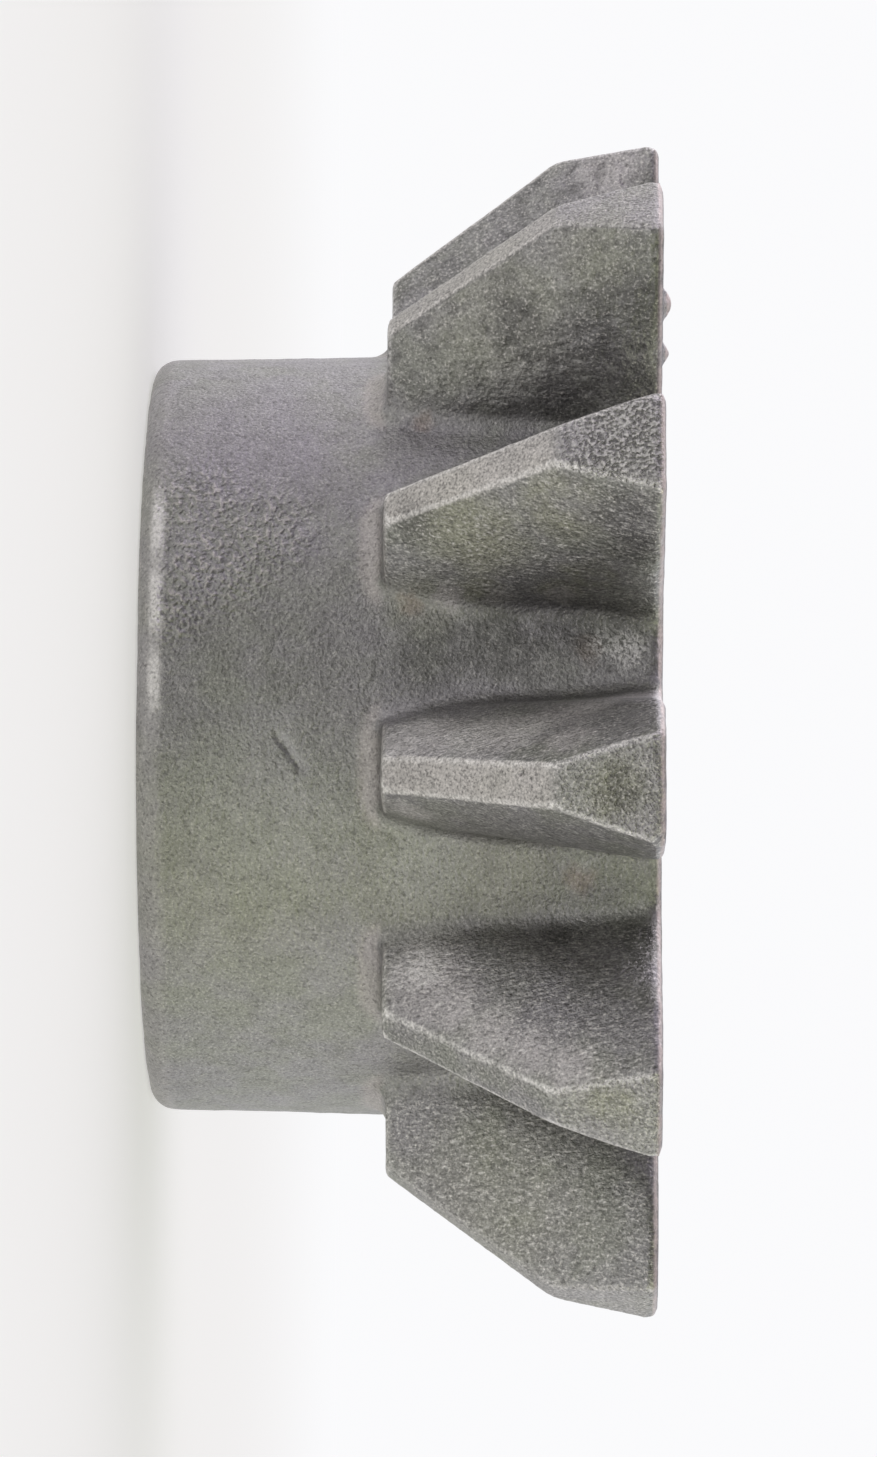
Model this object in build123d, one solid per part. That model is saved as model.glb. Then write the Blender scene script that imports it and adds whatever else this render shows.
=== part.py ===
"""A bevel pinion cast as one piece of iron: a hub, eleven straight bevel teeth and a keyed bore.

The hub stands on its small end at z = 0, the axis is +Z, and the large end of the teeth is on top.
The teeth run to one point on the axis, the apex, where they would meet the axis of the mating wheel.
"""
from build123d import *
from math import acos, atan, cos, pi, radians, sin, sqrt, tan
import os

# Tooth system, measured at the large end
module = 6.0
tooth_count = 11
mate_tooth_count = 18           # the wheel's shaft stands at right angles to this one
pressure_angle = radians(22.5)
thickness_factor = 0.95         # tooth width on the pitch circle over half the pitch, for backlash
face_angle = radians(36.9)      # cone of the tooth tops about the apex
root_spread = 6.5               # widening of a tooth below its base circle, radians per radian squared
large_tip_radius = 36.7
first_tooth_angle = -85.5       # the tooth that faces the front stands a little past -Y

# Heights along the axis
overall_height = 31.1
face_height = 16.5              # toothed length along the axis
large_chamfer_height = 6.4      # steeper band on the tooth tops at the large end

# Hub
hub_radius = 23.2
hub_draft = 0.019               # growth of the radius per millimetre of height, to draw the pattern

# Cast roundings
rim_round = 1.4
root_round = 1.3
edge_round = 0.4
knee_round = 2.0                # where the tooth tops turn into the steeper band

# Bore and keyway, machined after casting
bore_radius = 10.0
bore_chamfer = 1.0
key_width = 6.0
key_depth = 2.8                 # from the bore's wall to the keyway's floor

# How finely the flank curve is laid out, and how far a tool runs past what it cuts
flank_points = 9
overrun = 1.0
match = 0.001

toe_z = overall_height - face_height
knee_z = overall_height - large_chamfer_height
apex_z = overall_height - mate_tooth_count * module / 2
root_inside = hub_radius - root_round

pitch_radius = tooth_count * module / 2
pitch_cone_angle = atan(tooth_count / mate_tooth_count)
cone_distance = pitch_radius / sin(pitch_cone_angle)
back_pitch_radius = pitch_radius / cos(pitch_cone_angle)
back_base_radius = back_pitch_radius * cos(pressure_angle)
base_cone_angle = pitch_cone_angle - atan((back_pitch_radius - back_base_radius) / cone_distance)


def hub_radius_at(z):
    return hub_radius + hub_draft * z


def tip_radius_at(z):
    return (z - apex_z) * tan(face_angle)


def involute(angle):
    return tan(angle) - angle


def half_angle(radius):
    """Half the angle that a tooth takes up at a radius on the large end's plane.

    The involute is laid out on the back cone, where the pinion acts as a spur gear with more teeth.
    Below the base circle the cast tooth spreads towards its root.
    """
    cone_angle = atan(radius / (overall_height - apex_z))
    back_radius = back_pitch_radius + cone_distance * tan(cone_angle - pitch_cone_angle)
    roll = acos(min(1.0, back_base_radius / back_radius))
    half_width = pi * module / 4 * thickness_factor / back_pitch_radius
    above_base = (half_width + involute(pressure_angle) - involute(roll)) / cos(pitch_cone_angle)
    return above_base + root_spread * max(0.0, base_cone_angle - cone_angle) ** 2


def tooth_section(z):
    """Plane section of one tooth about +X: the large end's section scaled about the apex."""
    scale = (z - apex_z) / (overall_height - apex_z)
    inner = root_inside - overrun
    outer = tip_radius_at(overall_height) + overrun
    flank = []
    for step in range(flank_points):
        radius = inner + (outer - inner) * step / (flank_points - 1)
        angle = half_angle(radius)
        flank.append((radius * cos(angle) * scale, radius * sin(angle) * scale))
    left = Spline(*flank)
    right = Spline(*[(x, -y) for x, y in flank])
    outline = [left, Line(left @ 1, right @ 1), right, Line(left @ 0, right @ 0)]
    return Plane.XY.offset(z) * make_face(outline)


def toothed_blank():
    """The turned shape that the teeth fill, with its two outer corners rounded."""
    toe_corner = (tip_radius_at(toe_z), toe_z)
    knee_corner = (tip_radius_at(knee_z), knee_z)
    outline = make_face(
        Polyline(
            (root_inside, toe_z),
            toe_corner,
            knee_corner,
            (large_tip_radius, overall_height),
            (root_inside, overall_height),
            close=True,
        )
    )
    for corner, radius in [(toe_corner, edge_round), (knee_corner, knee_round)]:
        outline = fillet(outline.vertices().sort_by_distance(corner)[0], radius)
    return revolve(Plane.XZ * outline, Axis.Z)


def bounds_flank(edge):
    """Whether an edge of a tooth lies between a flank and the tooth's top or small end."""
    start, middle, end = edge @ 0, edge @ 0.5, edge @ 1
    on_one_side = start.Y * end.Y > 0
    on_large_face = min(start.Z, end.Z) > overall_height - match
    inside_hub = sqrt(middle.X**2 + middle.Y**2) < root_inside + match
    return on_one_side and not on_large_face and not inside_hub


def tooth():
    """One tooth about +X: rulings towards the apex, trimmed to the blank, with its edges rounded."""
    low = tooth_section(toe_z - overrun)
    high = tooth_section(overall_height + overrun)
    trimmed = loft([low, high], ruled=True) & toothed_blank()
    return fillet([edge for edge in trimmed.edges() if bounds_flank(edge)], edge_round)


def hub():
    """The drafted hub, which carries on between the teeth as the floor of their spaces."""
    outline = make_face(
        Polyline(
            (0, 0),
            (hub_radius, 0),
            (hub_radius_at(overall_height), overall_height),
            (0, overall_height),
            close=True,
        )
    )
    outline = fillet(outline.vertices().sort_by_distance((hub_radius, 0))[0], rim_round)
    return revolve(Plane.XZ * outline, Axis.Z)


def meets_hub(edge):
    """Whether an edge lies where a tooth's flank or small end leaves the hub."""
    middle = edge @ 0.5
    on_hub = abs(sqrt(middle.X**2 + middle.Y**2) - hub_radius_at(middle.Z)) < match
    return on_hub and toe_z - match < middle.Z < overall_height - match


def bored(casting):
    """The casting with its bore drilled, chamfered at both ends and broached for a key."""
    drill = extrude(Circle(bore_radius), overall_height)
    drilled = casting - drill
    rims = drilled.edges().filter_by(GeomType.CIRCLE).filter_by(
        lambda edge: abs(edge.radius - bore_radius) < match
    )
    drilled = chamfer(rims, bore_chamfer)
    reach = bore_radius + key_depth
    broach = extrude(Pos(reach / 2, 0) * Rectangle(reach, key_width), overall_height)
    return drilled - Rot(0, 0, first_tooth_angle) * broach


def pinion():
    casting = hub()
    one_tooth = tooth()
    for number in range(tooth_count):
        casting += Rot(0, 0, first_tooth_angle + number * 360 / tooth_count) * one_tooth
    casting = fillet([edge for edge in casting.edges() if meets_hub(edge)], root_round)
    return bored(casting)


if __name__ == "__main__":
    os.makedirs("parts", exist_ok=True)
    gear = pinion()
    box = gear.bounding_box()
    print(gear.is_valid, len(gear.solids()), len(gear.faces()), gear.volume, box)
    export_step(gear, "parts/bevel_pinion.step")
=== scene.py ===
import bmesh
import bpy
from math import pi, radians, tan
from mathutils import Matrix, Vector
from mathutils.bvhtree import BVHTree
from mathutils.kdtree import KDTree
import numpy as np


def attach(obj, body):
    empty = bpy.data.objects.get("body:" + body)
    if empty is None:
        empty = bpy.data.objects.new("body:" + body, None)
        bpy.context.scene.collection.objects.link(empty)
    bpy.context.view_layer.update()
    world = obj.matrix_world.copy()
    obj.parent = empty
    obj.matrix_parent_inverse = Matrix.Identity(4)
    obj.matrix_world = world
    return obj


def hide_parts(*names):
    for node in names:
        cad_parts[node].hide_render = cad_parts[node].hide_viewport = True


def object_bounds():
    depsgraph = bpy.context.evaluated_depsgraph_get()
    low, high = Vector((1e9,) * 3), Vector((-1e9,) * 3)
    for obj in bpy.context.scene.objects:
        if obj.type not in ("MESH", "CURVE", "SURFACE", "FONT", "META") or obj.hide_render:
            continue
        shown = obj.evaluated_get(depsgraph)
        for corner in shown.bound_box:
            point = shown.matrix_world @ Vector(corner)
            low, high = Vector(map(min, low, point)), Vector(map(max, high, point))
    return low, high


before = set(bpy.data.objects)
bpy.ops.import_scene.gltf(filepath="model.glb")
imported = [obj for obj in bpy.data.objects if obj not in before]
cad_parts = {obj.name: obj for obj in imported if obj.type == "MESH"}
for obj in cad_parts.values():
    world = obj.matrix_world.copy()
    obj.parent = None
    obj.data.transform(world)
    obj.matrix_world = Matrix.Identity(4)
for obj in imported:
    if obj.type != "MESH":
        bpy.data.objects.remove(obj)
cad_low, cad_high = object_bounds()
scene = bpy.context.scene
scene.view_settings.view_transform = "Standard"

# The camera looks level at the side of the standing gear and is rolled a quarter turn, so that
# the gear's axis runs across the picture with its hub to the left and its front tooth in the middle.
camera_distance = 0.4514
camera_height = 0.01757
camera_drop = 0.000465          # the axis lies this far below the picture's middle
camera_swing = radians(-0.81)
camera_roll = radians(0.23)
picture_size = (877, 1457)
picture_long_side = 36.0        # millimetres, as is the lens
lens_length = 179.75

axis_to_picture = Matrix(((0, 0, 1), (1, 0, 0), (0, -1, 0)))
down_to_up = Matrix.Diagonal((1, -1, 1))
turned = Matrix.Rotation(camera_roll, 3, "Z") @ Matrix.Rotation(camera_swing, 3, "Y")
to_camera = down_to_up @ turned @ axis_to_picture
offset = Vector((0, -camera_drop, -camera_distance))
camera_place = Vector((0, 0, camera_height)) - to_camera.transposed() @ offset
camera = bpy.data.objects.new("camera", bpy.data.cameras.new("camera"))
camera.data.sensor_width = picture_long_side
camera.data.lens = lens_length
camera.data.clip_start = 0.01
camera.data.clip_end = 20
camera.matrix_world = Matrix.Translation(camera_place) @ to_camera.transposed().to_4x4()
scene.collection.objects.link(camera)
scene.camera = camera


# The studio is a bright tent round the gear, lit softly from all round and most from behind the
# gear's upper side in the picture. The camera sees the tent's wall as plain white.
class Wire:
    """A socket in a node tree, so that shader maths is written as plain expressions."""

    def __init__(self, tree, socket=None):
        self.tree = tree
        self.socket = socket

    def feed(self, node, name):
        """Links this socket to a socket of another node."""
        self.tree.links.new(self.socket, node.inputs[name])

    def node(self, kind, settings=None, sockets=None, output=0):
        """Adds a node: first its settings, then the values or links of its sockets."""
        made = self.tree.nodes.new(kind)
        for name, value in (settings or {}).items():
            setattr(made, name, value)
        for name, value in (sockets or {}).items():
            if isinstance(value, Wire):
                value.feed(made, name)
            else:
                made.inputs[name].default_value = value
        return Wire(self.tree, made.outputs[output])

    def vector(self, operation, sockets, output="Vector"):
        return self.node("ShaderNodeVectorMath", {"operation": operation}, sockets, output)

    def maths(self, operation, first, second):
        return self.node("ShaderNodeMath", {"operation": operation}, {0: first, 1: second})

    def __add__(self, other):
        return self.maths("ADD", self, other)

    def __radd__(self, other):
        return self.maths("ADD", other, self)

    def __sub__(self, other):
        return self.maths("SUBTRACT", self, other)

    def __rsub__(self, other):
        return self.maths("SUBTRACT", other, self)

    def __mul__(self, other):
        return self.maths("MULTIPLY", self, other)

    def __rmul__(self, other):
        return self.maths("MULTIPLY", other, self)

    def __pow__(self, other):
        return self.maths("POWER", self, other)

    def rise(self, start, end, low=0.0, high=1.0):
        """A soft step from low to high while the value goes from start to end."""
        sockets = {"Value": self, "From Min": start, "From Max": end, "To Min": low, "To Max": high}
        return self.node("ShaderNodeMapRange", {"interpolation_type": "SMOOTHSTEP"}, sockets)

    def blend(self, first, second):
        """The first colour where this mask is 0, the second where it is 1."""
        # A Mix node has its two colours in sockets 6 and 7, and the mixed one in output 2.
        return self.node("ShaderNodeMix", {"data_type": "RGBA"}, {0: self, 6: first, 7: second}, 2)


# Each light has the side of the gear that it stands on, and its colour and strength.
tent_lights = (
    ((-1, 0, 0.1), (0.56, 0.50, 0.60)),
    ((1, 0, 0.1), (0.82, 0.82, 0.76)),
    ((0, 1, 0.1), (0.43, 0.44, 0.50)),
    ((0.7, -0.7, 0.1), (0.65, 0.69, 0.46)),
    ((-0.7, 0.7, 0.1), (1.43, 1.38, 1.44)),
    ((0.7, 0.7, 0.1), (0.64, 0.65, 0.68)),
    ((-0.7, 0, 0.7), (0.22, 0.21, 0.26)),
    ((0, 0, 1), (0.52, 0.49, 0.49)),
)
light_sharpness = 4.0           # the higher, the narrower each soft light
wall_white = (0.962, 0.962, 0.975, 1)

tent = bpy.data.worlds.new("tent")
tent.use_nodes = True
scene.world = tent
room = Wire(tent.node_tree)
towards = room.node("ShaderNodeTexCoord", output="Generated")
shine = None
for side, colour in tent_lights:
    facing = room.vector("DOT_PRODUCT", {0: towards, 1: Vector(side).normalized()}, "Value")
    lobe = room.maths("MAXIMUM", facing, 0.0) ** light_sharpness
    lit = room.vector("SCALE", {0: colour, "Scale": lobe})
    shine = room.vector("ADD", {0: shine, 1: lit}) if shine else lit
wall_or_tent = room.node("ShaderNodeLightPath", output="Is Camera Ray").blend(shine, wall_white)
wall_or_tent.feed(tent.node_tree.nodes["Background"], "Color")

# The gear stands on a sheet of white paper, which glows because it is lit from below as well. Away
# from the gear the camera sees the paper fade into the tent's wall.
sheet_half = 3.0
sheet_below = 0.00005           # the paper lies this little below the hub's end face
paper_glow = (0.440, 0.438, 0.420, 1)
paper_white = (0.69, 0.69, 0.70, 1)
fade_start = 0.06
fade_end = 0.42

sheet = bmesh.new()
bmesh.ops.create_grid(sheet, x_segments=1, y_segments=1, size=sheet_half,
                      matrix=Matrix.Translation((0, 0, -sheet_below)))
sheet_mesh = bpy.data.meshes.new("paper_sheet")
sheet.to_mesh(sheet_mesh)
sheet.free()
paper_sheet = bpy.data.objects.new("paper_sheet", sheet_mesh)
scene.collection.objects.link(paper_sheet)

paper = bpy.data.materials.new("white_paper")
paper.use_nodes = True
paper_shader = paper.node_tree.nodes["Principled BSDF"]
paper_shader.inputs["Base Color"].default_value = paper_white
paper_shader.inputs["Roughness"].default_value = 0.9
paper_shader.inputs["Emission Color"].default_value = paper_glow
paper_shader.inputs["Emission Strength"].default_value = 1.0
ground = Wire(paper.node_tree)
on_sheet = ground.node("ShaderNodeTexCoord", output="Object")
away = ground.vector("LENGTH", {0: on_sheet}, "Value")
faded = away.rise(fade_start, fade_end) * ground.node("ShaderNodeLightPath", output="Is Camera Ray")
wall = ground.node("ShaderNodeEmission", None, {"Color": wall_white, "Strength": 1.0})
near = Wire(ground.tree, paper_shader.outputs["BSDF"])
joined = ground.node("ShaderNodeMixShader", None, {0: faded, 1: near, 2: wall})
joined.feed(paper.node_tree.nodes["Material Output"], "Surface")
sheet_mesh.materials.append(paper)

# The pinion is one casting in grey iron: hub and eleven teeth come from one sand mould, shot-blasted
# and otherwise left as cast. Its edges are a little rounded and uneven, its skin is grainy.
same_point = 1e-6               # points closer than this are one
plug_radius = 0.014
plug_segments = 64
skin_step = 0.00022             # mesh size while the skin is worked
softening_passes = 3
most_triangles = 188000
wave_size = 0.0045
wave_depth = 0.00010
peel_size = 0.0009
peel_depth = 0.00005

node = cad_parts["bevel_pinion"]
height = cad_high.z
body = bmesh.new()
body.from_mesh(node.data)
bmesh.ops.remove_doubles(body, verts=body.verts, dist=same_point)
cad_skin = BVHTree.FromBMesh(body)
lens_pixels = lens_length / picture_long_side * max(picture_size)      # the lens in pixels


def seen_at(pixel):
    """The point of the casting that the photograph shows at one of its pixels."""
    across = (pixel[0] - picture_size[0] / 2) / lens_pixels
    down = (pixel[1] - picture_size[1] / 2) / lens_pixels
    ray = to_camera.transposed() @ Vector((across, -down, -1))
    return cad_skin.ray_cast(camera_place, ray.normalized())[0]


def baked(piece):
    """Makes the piece's modifiers part of its mesh."""
    mesh = bpy.data.meshes.new_from_object(piece.evaluated_get(bpy.context.evaluated_depsgraph_get()))
    piece.modifiers.clear()
    piece.data = mesh
    return mesh


def point_vectors(mesh, name):
    """The place or the normal of each point of a mesh, as an array."""
    values = np.empty(len(mesh.vertices) * 3)
    mesh.vertices.foreach_get(name, values)
    return values.reshape(-1, 3)


# The bore is filled until the skin is worked, so that it can be cut sharp afterwards.
bmesh.ops.create_cone(body, cap_ends=True, segments=plug_segments, radius1=plug_radius,
                      radius2=plug_radius, depth=height,
                      matrix=Matrix.Translation((0, 0, height / 2)))

# Two small lumps of iron stand on the large face where the mould was damaged, one wider than the
# other, and a little burr stands at the corner of the tooth beside the front one. Each row has the
# lump's middle, its radius across and its rise.
burr_pixel = (663, 491)
burr_lift = Vector((0, 0, 0.00005))
lumps = (
    ((-0.0260, -0.0145, height), 0.00084, 0.00078),
    ((-0.0231, -0.0129, height), 0.00056, 0.00070),
    (seen_at(burr_pixel) + burr_lift, 0.00036, 0.00030),
)
for middle, across, rise in lumps:
    lump_place = Matrix.Translation(middle) @ Matrix.Diagonal((across, across, rise, 1))
    bmesh.ops.create_icosphere(body, subdivisions=3, radius=1.0, matrix=lump_place)

skin = bpy.data.meshes.new("pinion_casting")
body.to_mesh(skin)
body.free()
casting = bpy.data.objects.new("pinion_casting", skin)
scene.collection.objects.link(casting)
remesh = casting.modifiers.new("one_skin", "REMESH")
remesh.mode = "VOXEL"
remesh.voxel_size = skin_step
remesh.use_smooth_shade = True
soften = casting.modifiers.new("soften", "SMOOTH")
soften.factor = 0.5
soften.iterations = softening_passes
skin = baked(casting)

# Where the skin bulges it gets a painted highlight and a little less roughness, and where it is
# hollow it gets painted shade. The bulge is the distance of a point from the same skin flattened, by
# a few passes for the edges of the teeth and by many for the roots between them. The edges of the
# large face are rounded more than the others.
edge_passes = 5
rounding_passes = 10
root_passes = 40
large_edge_reach = 0.0008
edge_bulge = 0.00003            # from this bulge on, the skin counts as an edge

points = point_vectors(skin, "co")
normals = point_vectors(skin, "normal")
edges = np.empty(len(skin.edges) * 2, int)
skin.edges.foreach_get("vertices", edges)
edges = edges.reshape(-1, 2)
neighbours = np.bincount(edges.ravel(), minlength=len(points))
flattened = points.copy()
passed = {}
for turn in range(1, root_passes + 1):
    sums = [np.bincount(edges[:, 0], flattened[edges[:, 1], side], len(points))
            + np.bincount(edges[:, 1], flattened[edges[:, 0], side], len(points)) for side in range(3)]
    flattened = np.stack(sums, 1) / neighbours[:, None]
    if turn in (edge_passes, rounding_passes, root_passes):
        passed[turn] = flattened
narrow_bulge = ((points - passed[edge_passes]) * normals).sum(1)
wide_bulge = ((points - passed[root_passes]) * normals).sum(1)
at_large_edge = np.clip((points[:, 2] - height + large_edge_reach) / large_edge_reach * 2, 0, 1)
at_large_edge = at_large_edge * np.clip(narrow_bulge / edge_bulge, 0, 1)
rounded = points + (passed[rounding_passes] - points) * at_large_edge[:, None]
skin.vertices.foreach_set("co", rounded.ravel())
skin.update()
skin_finder = KDTree(len(points))
for number, point in enumerate(points):
    skin_finder.insert(point, number)
skin_finder.balance()

for size, depth in ((wave_size, wave_depth), (peel_size, peel_depth)):
    clouds = bpy.data.textures.new("cast_clouds", "CLOUDS")
    clouds.noise_scale = size
    clouds.noise_depth = 1
    lift = casting.modifiers.new("cast_skin", "DISPLACE")
    lift.texture = clouds
    lift.texture_coords = "LOCAL"
    lift.strength = depth
    lift.mid_level = 0.5
skin = baked(casting)

# Damage of the photographed pinion, pressed into the skin: a scratch on the hub, nicks and pinholes,
# and two pits in the wide lump. Each row has the pixel, the width and the depth of one mark.
scratch_pixels = ((277, 735), (301, 769))
scratch_width = 0.00034
scratch_depth = 0.00016
dents = (
    ((150, 803), 0.00050, 0.00014),
    ((521, 772), 0.00030, 0.00028),
    ((395, 755), 0.00030, 0.00014),
    ((554, 761), 0.00024, 0.00010),
    ((655, 892), 0.00035, 0.00012),
    ((150, 600), 0.00050, 0.00008),
)
lump_pits = ((-0.0264, -0.01525, height + 0.0004), (-0.0256, -0.01480, height + 0.0004))
lump_pit_width = 0.00036
lump_pit_depth = 0.00016

points = point_vectors(skin, "co")
normals = point_vectors(skin, "normal")


def away_from(place):
    """The distance of each point of the skin from one place, or from a place of its own."""
    return np.linalg.norm(points - place, axis=1)


def press(distance, width, depth):
    """Presses the skin in by depth where the distance is 0, and less up to the width."""
    share = np.clip(1 - (distance / width) ** 2, 0, 1)
    points[:] = points - normals * (depth * share * share)[:, None]


scratch_start, scratch_end = [np.array(seen_at(pixel)) for pixel in scratch_pixels]
along = scratch_end - scratch_start
share_along = np.clip((points - scratch_start) @ along / (along @ along), 0, 1)
press(away_from(scratch_start + share_along[:, None] * along), scratch_width, scratch_depth)
for pixel, width, depth in dents:
    press(away_from(np.array(seen_at(pixel))), width, depth)
for pit in lump_pits:
    press(away_from(np.array(pit)), lump_pit_width, lump_pit_depth)

# A corner is broken off the front tooth at the large face, and the gear stands flat on its hub.
corner_pixel = (664, 826)
break_facing = np.array((0.62, -0.55, 0.56))
break_reach = 0.0022
break_below = 0.00002           # the break lies this far under the skin at the pixel

corner = np.array(seen_at(corner_pixel))
break_facing /= np.linalg.norm(break_facing)
beyond = (points - corner) @ break_facing + break_below
broken = (away_from(corner) < break_reach) & (beyond > 0)
points[:] = points - break_facing * np.where(broken, beyond, 0)[:, None]
points[:, 2] = np.maximum(points[:, 2], 0)
skin.vertices.foreach_set("co", points.ravel())
skin.update()

thin = casting.modifiers.new("thin", "DECIMATE")
thin.ratio = most_triangles / (2 * len(skin.polygons))
thin.use_collapse_triangulate = True
skin = baked(casting)

# The bore and its keyway are machined: drilled through, chamfered at both ends and broached for a
# key in line with the front tooth.
bore_radius = 0.010
bore_chamfer = 0.001
bore_segments = 128
key_width = 0.006
key_reach = 0.0128              # from the axis to the keyway's floor
key_angle = radians(-85.5)
sharp_angle = radians(38)       # edges that turn by more than this stay sharp in the shading

# The drill widens past both faces, so that it cuts the chamfers as well.
drill = bmesh.new()
outside = bore_radius + 2 * bore_chamfer
outline = ((0, -bore_chamfer), (outside, -bore_chamfer), (bore_radius, bore_chamfer),
           (bore_radius, height - bore_chamfer), (outside, height + bore_chamfer),
           (0, height + bore_chamfer))
corners = [drill.verts.new((across, 0, up)) for across, up in outline]
lines = [drill.edges.new(pair) for pair in zip(corners, corners[1:])]
bmesh.ops.spin(drill, geom=corners + lines, cent=(0, 0, 0), axis=(0, 0, 1), angle=2 * pi,
               steps=bore_segments, use_merge=True, use_duplicate=False)
bmesh.ops.remove_doubles(drill, verts=drill.verts, dist=same_point)
bmesh.ops.recalc_face_normals(drill, faces=drill.faces)

broach = bmesh.new()
broach_size = Matrix.Diagonal((key_reach, key_width, height + 2 * bore_chamfer, 1))
broach_place = Matrix.Rotation(key_angle, 4, "Z") @ Matrix.Translation((key_reach / 2, 0, height / 2))
bmesh.ops.create_cube(broach, size=1, matrix=broach_place @ broach_size)

cast_iron = bpy.data.materials.new("shot_blasted_iron")
cut_iron = bpy.data.materials.new("machined_iron")
skin.materials.append(cast_iron)
tools = []
for name, tool in (("drill", drill), ("broach", broach)):
    tool_mesh = bpy.data.meshes.new(name)
    tool.to_mesh(tool_mesh)
    tool.free()
    tool_mesh.materials.append(cut_iron)
    tools.append(bpy.data.objects.new(name, tool_mesh))
    scene.collection.objects.link(tools[-1])
    cut = casting.modifiers.new(name, "BOOLEAN")
    cut.operation = "DIFFERENCE"
    cut.solver = "MANIFOLD"
    cut.material_mode = "TRANSFER"
    cut.object = tools[-1]
skin = baked(casting)
for tool in tools:
    bpy.data.objects.remove(tool)
skin.shade_smooth()
skin.set_sharp_from_angle(angle=sharp_angle)

full_wear_and_sheen = 0.00010             # the bulge at which an edge gets its full painted highlight and its least roughness
full_hollow = 0.00025           # the depth at which a root gets its darkest painted shade
found = [skin_finder.find(vertex.co)[1] for vertex in skin.vertices]
# The first layer marks the edges for painted highlights and less roughness, the second the roots for
# painted shade.
for name, values in (("edge_wear_and_sheen", narrow_bulge[found] / full_wear_and_sheen),
                     ("hollow", -wide_bulge[found] / full_hollow)):
    layer = skin.attributes.new(name, "FLOAT", "POINT")
    layer.data.foreach_set("value", np.clip(values, 0, 1).astype(np.float32))

# The cast skin is dull dark iron with a fine bright grain, greenish and lavender in patches. Painted
# highlights lie on the tops of the teeth and on every edge, and painted shade in the roots. Sizes in
# this material are millimetres.
cast_iron.use_nodes = True
iron = Wire(cast_iron.node_tree)
where = iron.node("ShaderNodeTexCoord", output="Object")
mm = iron.vector("SCALE", {0: where, "Scale": 1000.0})
part_x, part_y, part_z = [iron.node("ShaderNodeSeparateXYZ", None, {0: mm}, axis) for axis in "XYZ"]
# Convex edges: they get a painted highlight and a little less roughness.
edge_wear_and_sheen = iron.node("ShaderNodeAttribute", {"attribute_name": "edge_wear_and_sheen"}, output="Fac")
# Hollows: they get painted shade.
hollow = iron.node("ShaderNodeAttribute", {"attribute_name": "hollow"}, output="Fac")

apex_height = -22.9
face_slope = tan(radians(36.9))
toe = 14.6                      # height of the small ends of the teeth
knee = 24.7                     # height at which the tooth tops turn into a steeper band
top = height * 1000
knee_radius = (knee - apex_height) * face_slope
band_slope = 0.15
flank_foot = 24.2               # radius at which the flanks leave the rounds at their roots

# Masks for the parts of the casting: the tooth tops below and above the knee, the hub and its rim,
# the flanks, and the rim of the large face.
radius = (part_x * part_x + part_y * part_y) ** 0.5
past_knee = part_z.rise(knee - 0.5, knee + 0.4)
under_top = radius - (part_z - apex_height) * face_slope
under_band = radius - (knee_radius + (part_z - knee) * band_slope)
land = under_top.rise(-0.32, -0.12) * (1 - past_knee) * part_z.rise(toe - 0.6, toe - 0.2)
band = under_band.rise(-0.30, -0.12) * past_knee
on_hub = part_z.rise(toe + 0.9, toe - 1.1)
rim = part_z.rise(1.9, 1.1)
below_face = part_z.rise(top - 0.15, top - 0.35)
large_rim = part_z.rise(top - 0.45, top - 0.15)
on_lumps = part_z.rise(top + 0.03, top + 0.12)
past_foot = radius.rise(flank_foot, flank_foot + 1.2)
flank = past_foot * part_z.rise(toe - 0.3, toe + 0.4) * (1 - land) * (1 - band) * below_face
clay = part_x.rise(-14.0, -19.0) * flank
among_teeth = part_z.rise(toe - 0.6, toe) * radius.rise(flank_foot, flank_foot + 0.8)
smooth_skin = 1 - among_teeth * below_face
# The rounds beside the toes of the teeth get a pinkish painted highlight.
toe_fillet_sheen = part_z.rise(toe - 2.0, toe - 1.3) * part_z.rise(toe + 0.1, toe - 0.4)
toe_fillet_sheen = toe_fillet_sheen * hollow.rise(0.05, 0.5)
# Painted light on the tooth tops, strongest on the front teeth.
painted_lit_land = land * part_x.rise(19.0, 5.0) * part_x.rise(-20.0, -15.0, 0.7, 1.0)


def grain(scale, detail, roughness, shift=(0, 0, 0), space=mm):
    """Cloudy noise from 0 to 1, with this many grains to the millimetre."""
    moved = iron.vector("ADD", {0: space, 1: shift})
    return iron.node("ShaderNodeTexNoise", None,
                     {"Vector": moved, "Scale": scale, "Detail": detail, "Roughness": roughness})


fine = grain(4.2, 2.0, 0.6)
tiny = grain(6.5, 2.0, 0.6, (31, 7, 5))
knobs = grain(2.7, 1.2, 0.45, (3, 57, 12))
coarse = grain(1.0, 2.0, 0.5, (5, 40, 9))
blotch = grain(0.6, 3.0, 0.6, (47, 13, 8))
cloud = grain(0.28, 3.0, 0.55, (11, 3, 23))
wide_cloud = grain(0.09, 2.0, 0.5, (2, 19, 41))
pitting = grain(4.4, 1.5, 0.5, (23, 3, 61))
drawn_out = iron.vector("MULTIPLY", {0: mm, 1: (1.0, 1.0, 0.42)})
streak = grain(5.0, 2.0, 0.6, space=drawn_out)
dimple = pitting.rise(0.52, 0.36)
fleck = tiny.rise(0.55, 0.70)

# Patches of another tone, of painted light and of painted shade lie where the photograph shows them.
# Each spot has its pixel and how far it reaches, and its border is bent so that it isn't round.
smudge_spots = (((480, 322), 0.7), ((505, 300), 0.7), ((520, 312), 0.8), ((450, 310), 0.8),
                ((525, 355), 0.7), ((590, 297), 0.9), ((490, 532), 0.5), ((412, 522), 1.9))
rust_spots = (((424, 425), 0.9), ((585, 650), 1.2), ((410, 603), 1.1), ((580, 880), 1.4))
# Spots of painted light on the root between two teeth near the large face.
painted_light_root_spots = (((628, 650), 1.7), ((600, 645), 1.2))
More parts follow.
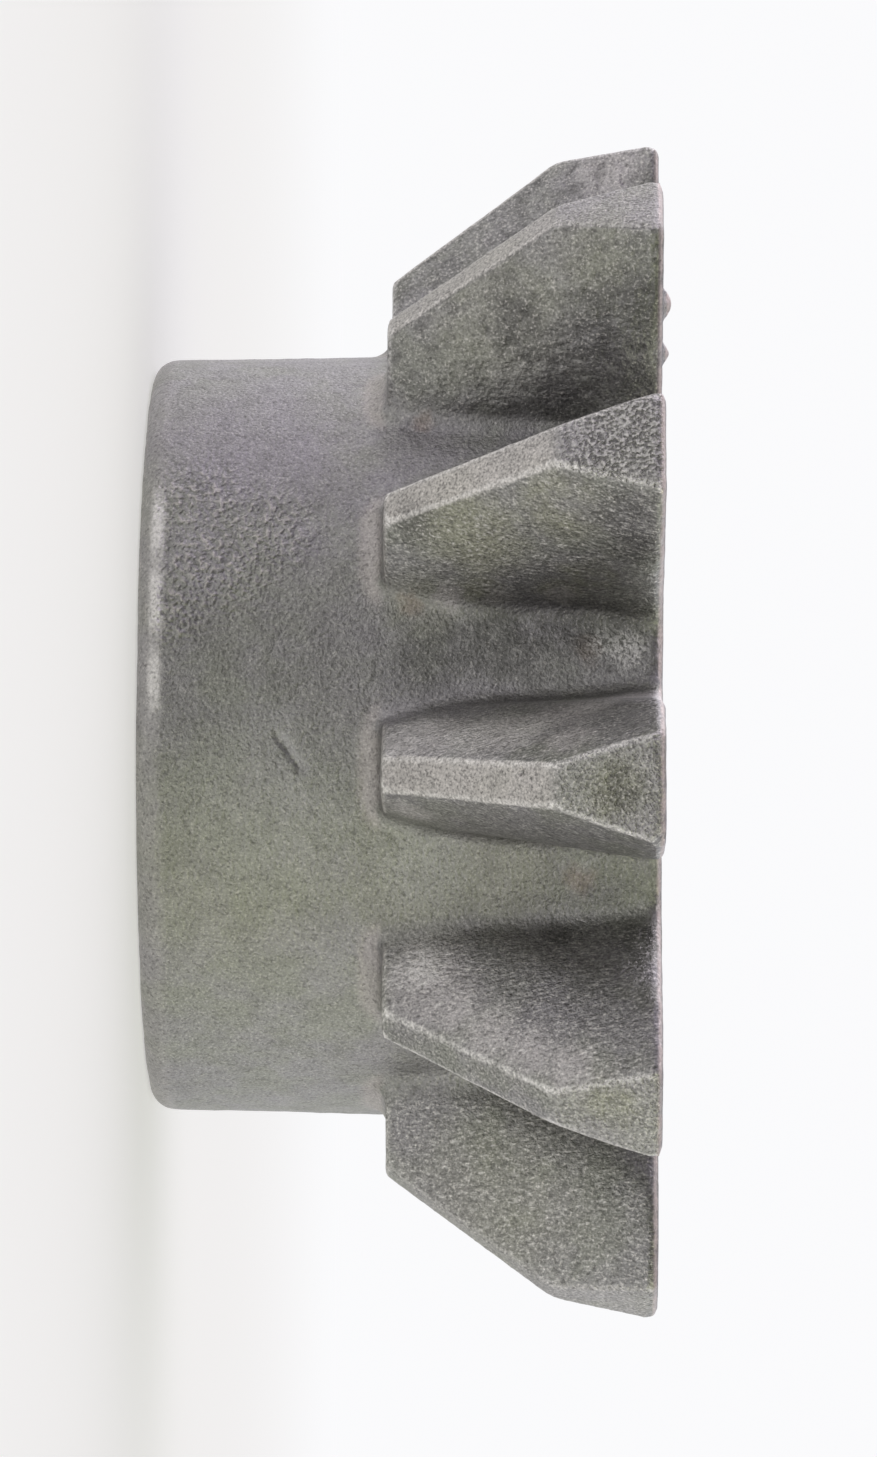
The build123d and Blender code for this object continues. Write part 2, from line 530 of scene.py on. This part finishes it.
# Spots of painted highlight on the rounded rim at the hub's end.
rim_highlight_spots = (((158, 525), 3.8), ((154, 600), 3.2), ((150, 680), 2.6))
# Spots of painted shade in the spaces between the teeth.
painted_shade_spots = (((430, 658), 3.4), ((505, 642), 3.6), ((575, 630), 3.0), ((625, 616), 2.2),
              ((640, 940), 2.2), ((560, 935), 1.6), ((640, 390), 2.4), ((560, 405), 2.4),
              ((635, 300), 3.2), ((590, 330), 2.6), ((520, 330), 2.6), ((620, 510), 2.4),
              ((632, 545), 2.4), ((530, 628), 2.2), ((622, 788), 2.2))
# Olive patches, partly a tone of the iron and partly painted light on the lower flank of a tooth.
olive_and_light_spots = (((470, 530), 5.0), ((560, 505), 3.6), ((590, 575), 2.2), ((620, 790), 2.6),
              ((610, 1105), 2.6), ((480, 588), 2.0), ((560, 590), 2.0))
green_spots = (((410, 880), 6.0), ((230, 860), 9.5), ((500, 870), 5.0), ((420, 600), 3.5),
               ((500, 320), 6.5), ((590, 260), 4.0), ((500, 1195), 7.5))
# Spots of painted light, mostly on the flanks of the teeth.
painted_light_spots = (((430, 735), 3.4), ((500, 732), 3.4), ((570, 712), 3.2), ((635, 697), 3.0),
              ((430, 980), 3.8), ((450, 1002), 3.0), ((490, 1032), 2.6), ((530, 1052), 2.4),
              ((570, 1066), 2.2), ((410, 812), 2.2), ((450, 594), 1.5), ((500, 596), 1.5),
              ((560, 594), 1.5), ((570, 738), 2.2), ((610, 165), 3.2))
# Spots of brighter painted light on the same flanks.
painted_bright_spots = (((410, 735), 3.4), ((470, 735), 3.0), ((530, 728), 2.4), ((635, 697), 2.8),
                 ((600, 702), 2.4), ((420, 965), 2.2))
silver_spots = (((260, 795), 8.0), ((420, 868), 4.4))
cobble_spots = (((200, 500), 4.6), ((215, 560), 5.0), ((260, 530), 4.4), ((172, 612), 2.8))
pit_spots = (((640, 425), 5.0), ((612, 455), 3.4))
mauve_spots = (((250, 430), 9.0), ((430, 740), 4.0), ((560, 720), 3.6), ((430, 985), 4.0),
               ((540, 1030), 4.5), ((600, 185), 4.0), ((420, 440), 4.0), ((610, 700), 3.4))
warp_scale = 0.9
warp_reach = 1.6                # the border is bent by up to half of this

warp = iron.node("ShaderNodeTexNoise", None, {"Vector": mm, "Scale": warp_scale, "Detail": 2.0}, "Color")
bent = iron.vector("MULTIPLY_ADD", {0: warp, 1: (warp_reach, warp_reach, warp_reach), 2: mm})


def patches(spots):
    """A mask of soft uneven patches: 1 well inside each spot, and 0 beyond its reach."""
    mask = None
    for pixel, reach in spots:
        middle = seen_at(pixel) * 1000 + Vector((warp_reach, warp_reach, warp_reach)) / 2
        one_patch = iron.vector("DISTANCE", {0: bent, 1: middle}, "Value").rise(reach, reach * 0.25)
        mask = iron.maths("MAXIMUM", mask, one_patch) if mask else one_patch
    return mask


olive_tint_and_light = patches(olive_and_light_spots)
pitted = patches(pit_spots)
cobbles = on_hub * patches(cobble_spots)
# Painted highlight on the rounded rim at the hub's end, in spots.
painted_rim_highlight = patches(rim_highlight_spots) * part_z.rise(0.55, 0.95) * part_z.rise(1.75, 1.25)

light_iron = (0.372, 0.366, 0.366, 1)
green_iron = (0.338, 0.348, 0.298, 1)
mauve_iron = (0.352, 0.336, 0.360, 1)
moss_iron = (0.398, 0.400, 0.318, 1)
silver_iron = (0.50, 0.50, 0.50, 1)
# The pinkish painted highlight beside the toes.
painted_sheen_pink = (0.52, 0.48, 0.465, 1)
pale_iron = (0.62, 0.592, 0.598, 1)
bright_iron = (0.64, 0.61, 0.585, 1)
edge_iron = (0.85, 0.75, 0.71, 1)
edge_bright = (0.88, 0.86, 0.84, 1)
white_iron = (0.92, 0.90, 0.89, 1)
dark_iron = (0.110, 0.108, 0.106, 1)
rust = (0.34, 0.25, 0.19, 1)

# Painted highlights along the convex edges of the teeth, weaker on the far teeth at both sides.
painted_edge_highlights = edge_wear_and_sheen.rise(0.30, 0.74) * (0.28 + fine.rise(0.40, 0.56) * 0.62)
painted_edge_highlights = painted_edge_highlights * part_x.rise(-20.0, -15.0, 0.5, 1.0) * part_x.rise(25.0, 20.0, 0.5, 1.0)
# Painted highlight along the edges of the large face.
edge_glow = large_rim * edge_wear_and_sheen.rise(0.08, 0.4) * (0.35 + coarse.rise(0.3, 0.6) * 0.5)

# The tones, painted light and painted shade over the light iron, one over the other: how much there
# is of each, and which.
tones = (
    (cloud.rise(0.38, 0.62) * 0.6, green_iron),
    (wide_cloud.rise(0.48, 0.66) * 0.5, mauve_iron),
    # Olive tone, which is also painted light where it lies on the lower flank of a tooth.
    (olive_tint_and_light * cloud.rise(0.20, 0.50) * 0.9, moss_iron),
    (patches(green_spots) * 0.32, moss_iron),
    (patches(silver_spots) * 0.38, silver_iron),
    (patches(mauve_spots) * 0.6, mauve_iron),
    # Painted light on the flanks of the teeth, in two strengths.
    (patches(painted_light_spots) * 0.75, pale_iron),
    (patches(painted_bright_spots) * 0.50, white_iron),
    # Painted highlight along the rounded rim at the hub's end.
    (rim * 0.26, pale_iron),
    (band * (0.20 - olive_tint_and_light * 0.20), pale_iron),
    # Painted light on the tooth tops.
    (painted_lit_land * 0.72, bright_iron),
    (blotch.rise(0.56, 0.36) * (0.14 + clay * 0.16), dark_iron),
    (patches(rust_spots) * 0.35, rust),
    # Pinkish painted highlight on the rounds beside the toes.
    (toe_fillet_sheen * 0.55, painted_sheen_pink),
    (patches(smudge_spots) * 0.45, dark_iron),
    # Painted shade between the teeth, broken up by coarse noise.
    (patches(painted_shade_spots) * coarse.rise(0.25, 0.55) * 0.55, dark_iron),
    # Painted shade in the roots and other hollows, left out on the rounds beside the toes.
    (hollow.rise(0.35, 1.0) * (1 - toe_fillet_sheen) * 0.18, dark_iron),
    (fine.rise(0.50, 0.30) * 0.45, dark_iron),
    (dimple * band * (0.25 + pitted * 0.30), dark_iron),
    (pitting.rise(0.50, 0.64) * band * (0.15 + pitted * 0.25), edge_bright),
    (land * tiny.rise(0.46, 0.34) * 0.35, dark_iron),
    (fleck * (0.55 - smooth_skin * 0.25), bright_iron),
    ((flank - clay * 0.7) * streak.rise(0.54, 0.70) * 0.48, edge_bright),
    ((flank - clay * 0.5) * streak.rise(0.46, 0.32) * 0.45, dark_iron),
    (clay * coarse.rise(0.46, 0.30) * 0.40, dark_iron),
    (cobbles * knobs.rise(0.52, 0.66) * 0.60, bright_iron),
    # Painted highlights on the edges of the teeth.
    (painted_edge_highlights, edge_bright),
    # Painted light on that root, in a fine pattern.
    (patches(painted_light_root_spots) * fine.rise(0.42, 0.60) * 0.5, white_iron),
    # Brighter painted highlight on that rim, in spots.
    (painted_rim_highlight * (0.35 + fine.rise(0.30, 0.55) * 0.4), white_iron),
    # Painted light on the lumps of the large face, in a fine pattern.
    (on_lumps * fine.rise(0.36, 0.50) * 0.6, edge_bright),
    # Painted highlight on the edges of the large face.
    (edge_glow, edge_iron),
)
colour = light_iron
for share, tone in tones:
    colour = share.blend(colour, tone)
speckle = (tiny - 0.5) * (1.3 - smooth_skin * 0.45) + 1.0
colour = iron.vector("SCALE", {0: colour, "Scale": speckle})
rough = 0.43 + coarse * 0.10 - edge_wear_and_sheen * 0.06

skin_height = (fine * 0.06 + tiny * 0.025) * (1 + band * 0.6) + coarse * (0.05 + clay * 0.20)
skin_height = skin_height + knobs * (0.035 + cobbles * 0.30) + flank * streak * 0.04
skin_height = skin_height - dimple * band * (0.04 + pitted * 0.11)
bumps = iron.node("ShaderNodeBump", None,
                  {"Strength": 1.0, "Distance": 0.001, "Height": skin_height})
iron_shader = cast_iron.node_tree.nodes["Principled BSDF"]
iron_shader.inputs["Metallic"].default_value = 1.0
colour.feed(iron_shader, "Base Color")
rough.feed(iron_shader, "Roughness")
bumps.feed(iron_shader, "Normal")

# The machined walls of the bore and the keyway are brighter, with fine tool marks round the bore
# and a few dull stains.
clean_wall = (0.46, 0.45, 0.44, 1)
stained_wall = (0.30, 0.27, 0.24, 1)
tool_mark_scale = (300, 300, 9000)
tool_mark_depth = 0.00002

cut_iron.use_nodes = True
cut_wire = Wire(cut_iron.node_tree)
cut_where = cut_wire.node("ShaderNodeTexCoord", output="Object")
marks = cut_wire.node("ShaderNodeMapping", None, {"Vector": cut_where, "Scale": tool_mark_scale})
tool_marks = cut_wire.node("ShaderNodeTexNoise", None, {"Vector": marks, "Scale": 1.0, "Detail": 3.0})
stains = cut_wire.node("ShaderNodeTexNoise", None, {"Vector": cut_where, "Scale": 320.0, "Detail": 3.0})
cut_colour = (stains.rise(0.45, 0.70) * 0.6).blend(clean_wall, stained_wall)
cut_rough = 0.30 + stains * 0.18
cut_bumps = cut_wire.node("ShaderNodeBump", None,
                          {"Strength": 0.6, "Distance": tool_mark_depth, "Height": tool_marks})
cut_shader = cut_iron.node_tree.nodes["Principled BSDF"]
cut_shader.inputs["Metallic"].default_value = 1.0
cut_colour.feed(cut_shader, "Base Color")
cut_rough.feed(cut_shader, "Roughness")
cut_bumps.feed(cut_shader, "Normal")

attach(casting, "root")
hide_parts("bevel_pinion")
